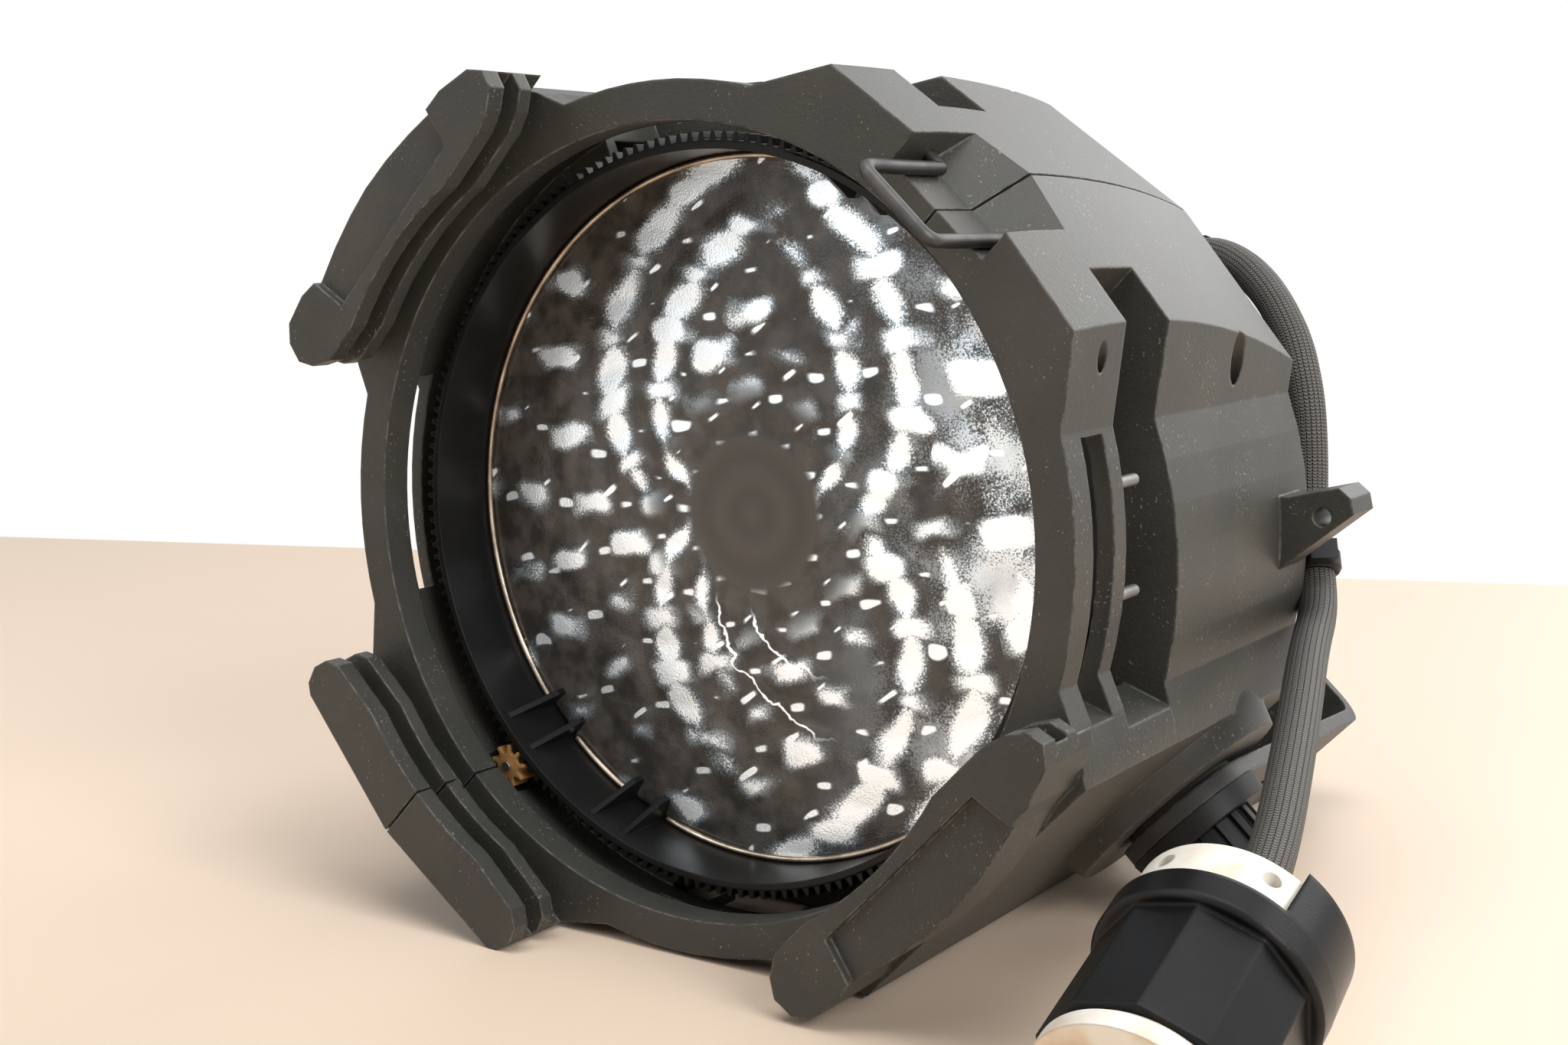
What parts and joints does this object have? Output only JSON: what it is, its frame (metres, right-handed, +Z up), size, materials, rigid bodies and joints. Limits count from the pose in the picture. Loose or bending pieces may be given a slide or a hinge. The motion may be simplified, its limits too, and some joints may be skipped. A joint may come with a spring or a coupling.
{
  "type": "stage wash light",
  "caption": "Stage light: split cast barrel with turning stippled lens, dimpled reflector, accessory slots with wire latch, strap yoke, sleeved lead and locking plug.",
  "frame": {"origin": "on the floor, under the centre of the light's box at rest without its lead and plug", "axes": "+Y along the lens axis from the lens to the rear cap, +Z up, +X to the side that the lead leaves on; the light lies rolled 43.7 degrees about Y, onto one corner of its lower slots"},
  "size_m": [0.2625, 0.2843, 0.2014],
  "materials": {
    "body_paint": "satin powder coat with a fine grain",
    "ring_paint": "semi-gloss black",
    "strap_paint": "satin",
    "black_steel": "dark oxide",
    "bright_steel": "brushed",
    "zinc_steel": "zinc plated",
    "lens_glass": "stippled",
    "quartz": "clear",
    "mirror_metal": "dimpled and polished",
    "tungsten": "drawn wire",
    "lamp_metal": "satin",
    "ceramic": "fired",
    "brown_plastic": "moulded",
    "washer_fibre": "matt",
    "knob_plastic": "moulded",
    "lead_sleeve": "braided glass fibre",
    "tie_plastic": "moulded nylon",
    "plug_white": "moulded nylon",
    "plug_black": "moulded",
    "blade_brass": "worn"
  },
  "bodies": {
    "barrel": {"right_housing": "body_paint", "left_housing": "body_paint", "housing_screws": "black_steel", "guide_pins": "bright_steel", "reflector": "mirror_metal", "lamp_bulb": "quartz", "lamp_filament": "tungsten", "lamp_base": "lamp_metal", "lamp_socket": "ceramic", "rear_cap": "body_paint", "cap_screws": "bright_steel", "pivot_bolt_right": "black_steel", "pivot_bolt_left": "black_steel", "bolt_nut": "black_steel", "cord_gland": "tie_plastic", "cord": "lead_sleeve", "cable_tie": "tie_plastic", "plug_clamp": "plug_white", "plug_clamp_screws": "bright_steel", "plug_body": "plug_black", "plug_face": "plug_white", "plug_blades": "blade_brass", "plug_screws": "bright_steel"},
    "yoke": {"yoke": "strap_paint", "pivot_washers": "washer_fibre", "tilt_disc": "knob_plastic"},
    "tilt_knob": {"tilt_knob": "knob_plastic"},
    "lens_ring": {"lens_ring": "ring_paint", "lens_glass": "lens_glass", "lens_wires": "bright_steel"},
    "pinion": {"pinion": "brown_plastic", "pinion_shaft": "bright_steel"},
    "latch": {"bail_latch": "black_steel"},
    "lock_screw": {"lock_screw": "zinc_steel"}
  },
  "joints": [
    {"name": "yoke_tilt", "type": "hinge", "parent": "barrel", "child": "yoke", "pos_m": [-0.0028, -0.0085, 0.10482], "axis": [0.723, 0, -0.6909], "range_deg": [-95, 50]},
    {"name": "tilt_knob_turn", "type": "hinge", "parent": "barrel", "child": "tilt_knob", "pos_m": [0.08612, -0.0085, 0.01984], "axis": [0.723, 0, -0.6909], "range_deg": [0, 540]},
    {"name": "lens_ring_turn", "type": "hinge", "parent": "barrel", "child": "lens_ring", "pos_m": [-0.00833, -0.0745, 0.09904], "axis": [0, 1, 0], "continuous": true},
    {"name": "pinion_turn", "type": "hinge", "parent": "barrel", "child": "pinion", "pos_m": [-0.07155, -0.0785, 0.03289], "axis": [0, 1, 0], "continuous": true},
    {"name": "latch_swing", "type": "hinge", "parent": "barrel", "child": "latch", "pos_m": [0.05951, -0.0815, 0.17003], "axis": [-0.723, 0, 0.6909], "range_deg": [0, 100]},
    {"name": "lock_screw_turn", "type": "hinge", "parent": "barrel", "child": "lock_screw", "pos_m": [0.06558, 0.06, 0.12965], "axis": [0.9239, 0, 0.3827], "range_deg": [0, 720]}
  ],
  "couplings": [
    {"joint": "pinion_turn", "follows": "lens_ring_turn", "ratio": -19.333}
  ]
}
